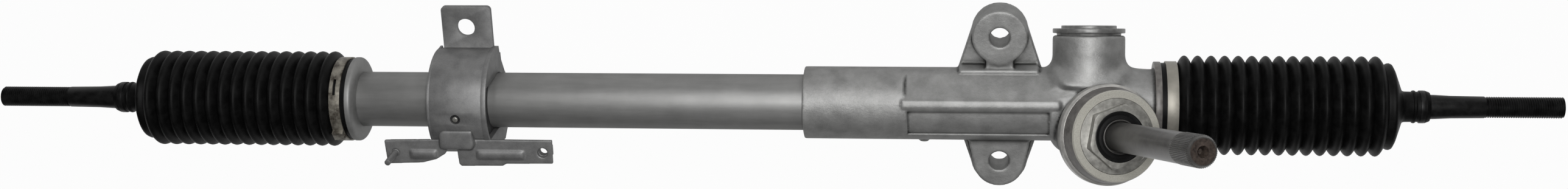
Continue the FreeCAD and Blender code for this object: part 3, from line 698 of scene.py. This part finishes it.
# each stretch's name and profile, the two bodies it joins, and where it starts and stops following them
boot_parts = [
    ("folds", [(278.6, 28.4), (289.5, 28.4), (289.9, VALLEY_R)] + folds(0, INNER_FOLDS),
     "housing", "rack", 290.7, inner_valley),
    ("outer_folds", [(inner_valley, VALLEY_R)] + folds(INNER_FOLDS, FOLDS),
     "rack", "seat", inner_valley, outer_valley),
    ("cone", cone_profile, "seat", "tie_rod", outer_valley, 437.0)]
for side_name, side in (("right", 1), ("left", -1)):
    for part, profile, near, far, start, end in boot_parts:
        piece = turned("boot_%s_%s" % (side_name, part), GEAR_MID, ALONG * side, profile,
                       sides=112, ends="open", angle=50)
        near_body = near if near in ("housing", "rack") else near + "_" + side_name
        far_body = far if far in ("housing", "rack") else far + "_" + side_name
        modify(piece, "SOLIDIFY", thickness=0.0013, offset=-1.0, use_even_offset=False)
        smooth(piece, 60)
        piece.data.materials.clear()
        piece.data.materials.append(boot_rubber.data)
        tuple(GEAR_MID + ALONG * (side * start * 0.001))
        tuple(GEAR_MID + ALONG * (side * end * 0.001))
        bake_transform(piece)
        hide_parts("boot_" + side_name)

# Band clamps
# Stainless bands over the boots' large ends, pinched by a crimped ear. The left one has random stains
# and a darker copy of the stainless finish as painted shade, and a slot shows in it.
stainless = Finish("stainless_band")
band_cloud = grain(stainless, 240, 3.0)
stainless.feed("Base Color", blend_colour(stainless, band_cloud,
                                          (0.19, 0.18, 0.155), (0.30, 0.285, 0.25)))
stainless.feed("Metallic", 0.5)
stainless.feed("Roughness", band_cloud * 0.12 + 0.44)
bump(stainless, grain(stainless, 900, 2.0), 0.0001, 0.3)

# the left band's finish: random stains, and a darker copy of the stainless as painted shade
stained_shaded_band = Finish("stained_band_painted_shade")
stains = grain(stained_shaded_band, 160, 4.0, 0.65)
stained_shaded_band.feed("Base Color", blend_colour(stained_shaded_band, ramp(stained_shaded_band, stains, 0.36, 0.62),
                                       (0.045, 0.036, 0.028), (0.24, 0.225, 0.19)))
stained_shaded_band.feed("Metallic", 0.5)
stained_shaded_band.feed("Roughness", stains * 0.2 + 0.40)
bump(stained_shaded_band, stains, 0.0002, 0.3)

SLOT_TURN = math.radians(36.0)
SLOT_MIDDLE = RACK + Vector((-0.4572, math.sin(SLOT_TURN) * 0.029, math.cos(SLOT_TURN) * 0.029))
for side_name in ("right", "left"):
    band = crisp("large_clamp_" + side_name, "band_clamp_" + side_name, 0.2)
    if side_name == "left":
        bpy.ops.object.select_all(action="DESELECT")
        bpy.ops.mesh.primitive_cube_add(size=0.001, location=SLOT_MIDDLE, rotation=(-SLOT_TURN, 0.0, 0.0),
                                        scale=(2.0, 11.6, 5.0))
        cutter = bpy.context.object
        modify(band, "BOOLEAN", operation="DIFFERENCE", object=cutter, solver="EXACT")
        bpy.ops.object.select_all(action="DESELECT")
        cutter.select_set(True)
        bpy.ops.object.delete()
        smooth(band, 30)
    band_finish = stained_shaded_band if side_name == "left" else stainless
    fit(band, "housing", "clamp_steel", band_finish, "large_clamp_" + side_name)

# Tie rods
# Forged, blackened rods with a ball inside the boot and an M14 x 1.5 thread at the outer end.
# The thread is one turn of its profile, screwed along the rod and cut square at both ends.
black_rod = Finish("blackened_rod_steel")
rod_cloud = grain(black_rod, 170, 4.0)
black_rod.feed("Base Color", blend_colour(black_rod, ramp(black_rod, rod_cloud, 0.35, 0.7),
                                          (0.003, 0.003, 0.003), (0.010, 0.010, 0.010)))
black_rod.feed("Specular IOR Level", 0.15)
black_rod.feed("Roughness", rod_cloud * 0.2 + 0.32)
bump(black_rod, grain(black_rod, 900, 3.0), 0.00015, 0.4)
THREAD_PITCH = 1.5
THREAD_ROOT_R = 6.10
THREAD_CREST_R = 7.0
THREAD_START = 490.5
THREAD_END = 540.0
# one turn of the thread's profile: distance along the rod and radius, in mm
thread_turn = [(0.0, THREAD_ROOT_R), (0.10, THREAD_ROOT_R), (0.65, THREAD_CREST_R), (0.85, THREAD_CREST_R),
               (1.40, THREAD_ROOT_R), (THREAD_PITCH, THREAD_ROOT_R)]
rod_profile = [(BALL_D - 8.9, 1.4), (BALL_D - 7.8, 4.5), (BALL_D - 5, 7.48), (BALL_D - 2, 8.77),
               (BALL_D, 9.0), (BALL_D + 3, 8.48), (BALL_D + 6.75, 5.85), (399.5, 5.85), (406.5, 7.4),
               (428.5, 7.4), (431.5, 8.1), (457.2, 8.1), (468.2, 7.5), (489.6, 7.2), (491.4, 6.15)]
for side_name, side in (("right", 1), ("left", -1)):
    outwards = ALONG * side
    tie_rod = "tie_rod_" + side_name
    rod = turned("rod_" + side_name, GEAR_MID, outwards, rod_profile, sides=96)
    fit(rod, tie_rod, "rod_steel", black_rod, tie_rod)

    bpy.ops.object.select_all(action="DESELECT")
    bpy.ops.mesh.primitive_plane_add(size=0.001, location=(THREAD_ROOT_R * 0.001, 0.0, 0.0))
    thread = bpy.context.object
    thread.name = "thread_" + side_name
    bpy.ops.object.transform_apply(location=True, rotation=True, scale=True)
    bpy.ops.object.mode_set(mode="EDIT")
    bpy.ops.mesh.select_mode(type="VERT")
    bpy.ops.mesh.select_all(action="SELECT")
    bpy.ops.mesh.merge(type="CENTER")
    for (z0, r0), (z1, r1) in zip(thread_turn, thread_turn[1:]):
        bpy.ops.mesh.extrude_vertices_move(
            TRANSFORM_OT_translate={"value": ((r1 - r0) * 0.001, 0.0, (z1 - z0) * 0.001)})
    modify(thread, "SCREW", angle=2 * math.pi, screw_offset=THREAD_PITCH * 0.001, iterations=35, steps=40,
           render_steps=40, use_merge_vertices=True, merge_threshold=0.00002)
    thread.rotation_euler = outwards.to_track_quat("Z", "Y").to_euler()
    thread.location = GEAR_MID + outwards * 0.4895
    bpy.ops.object.transform_apply(location=True, rotation=True, scale=True)
    for cut, keep_outer in ((THREAD_START, True), (THREAD_END, False)):
        bpy.ops.object.mode_set(mode="EDIT")
        bpy.ops.mesh.select_all(action="SELECT")
        bpy.ops.mesh.bisect(plane_co=GEAR_MID + outwards * (cut * 0.001), plane_no=outwards, use_fill=True,
                            threshold=1e-6, clear_inner=keep_outer, clear_outer=not keep_outer)
    bpy.ops.mesh.select_all(action="SELECT")
    bpy.ops.mesh.normals_make_consistent(inside=False)
    bpy.ops.object.mode_set(mode="OBJECT")
    smooth(thread, 28)
    fit(thread, tie_rod, "rod_steel", black_rod, tie_rod)

    # a thin ring on the boot's small collar
    ring = crisp("small_clamp_" + side_name, "collar_ring_" + side_name, 0.15)
    fit(ring, tie_rod, "rod_steel", black_rod, "small_clamp_" + side_name)

# Parts inside the gear
# Rack bar, yoke, bearings and inner ball joints, none of them seen in the assembled gear.
# They keep their CAD shapes and get the finishes of ground steel, polymer and casting.
polymer = Finish("natural_polymer")
polymer.feed("Base Color", blend_colour(polymer, grain(polymer, 200, 3.0),
                                        (0.62, 0.60, 0.54), (0.72, 0.70, 0.64)))
polymer.feed("Roughness", grain(polymer, 500, 2.0) * 0.2 + 0.4)
bright = Finish("ground_bearing_steel")
bright.feed("Base Color", blend_colour(bright, grain(bright, 300, 3.0),
                                       (0.50, 0.50, 0.50), (0.60, 0.60, 0.60)))
bright.feed("Metallic", 0.7)
bright.feed("Roughness", grain(bright, 800, 2.0) * 0.1 + 0.2)
hidden_parts = [
    (cast, ["yoke"]),
    (nut_steel, ["yoke_plug", "lock_washer_right", "lock_washer_left"]),
    (polymer, ["yoke_pad", "rack_bush", "ball_seat_right", "ball_seat_left"]),
    (seal_rubber, ["yoke_o_ring"]),
    (shaft_steel, ["rack_bar"]),
    (bright, ["yoke_spring", "pinion_bearing_outer", "pinion_bearing_inner", "pinion_bearing_balls",
              "needle_bearing"]),
    (black_rod, ["ball_housing_right", "ball_housing_left"])]
for finish, nodes in hidden_parts:
    for node in nodes:
        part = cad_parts[node]
        part.data.materials.clear()
        part.data.materials.append(finish.data)
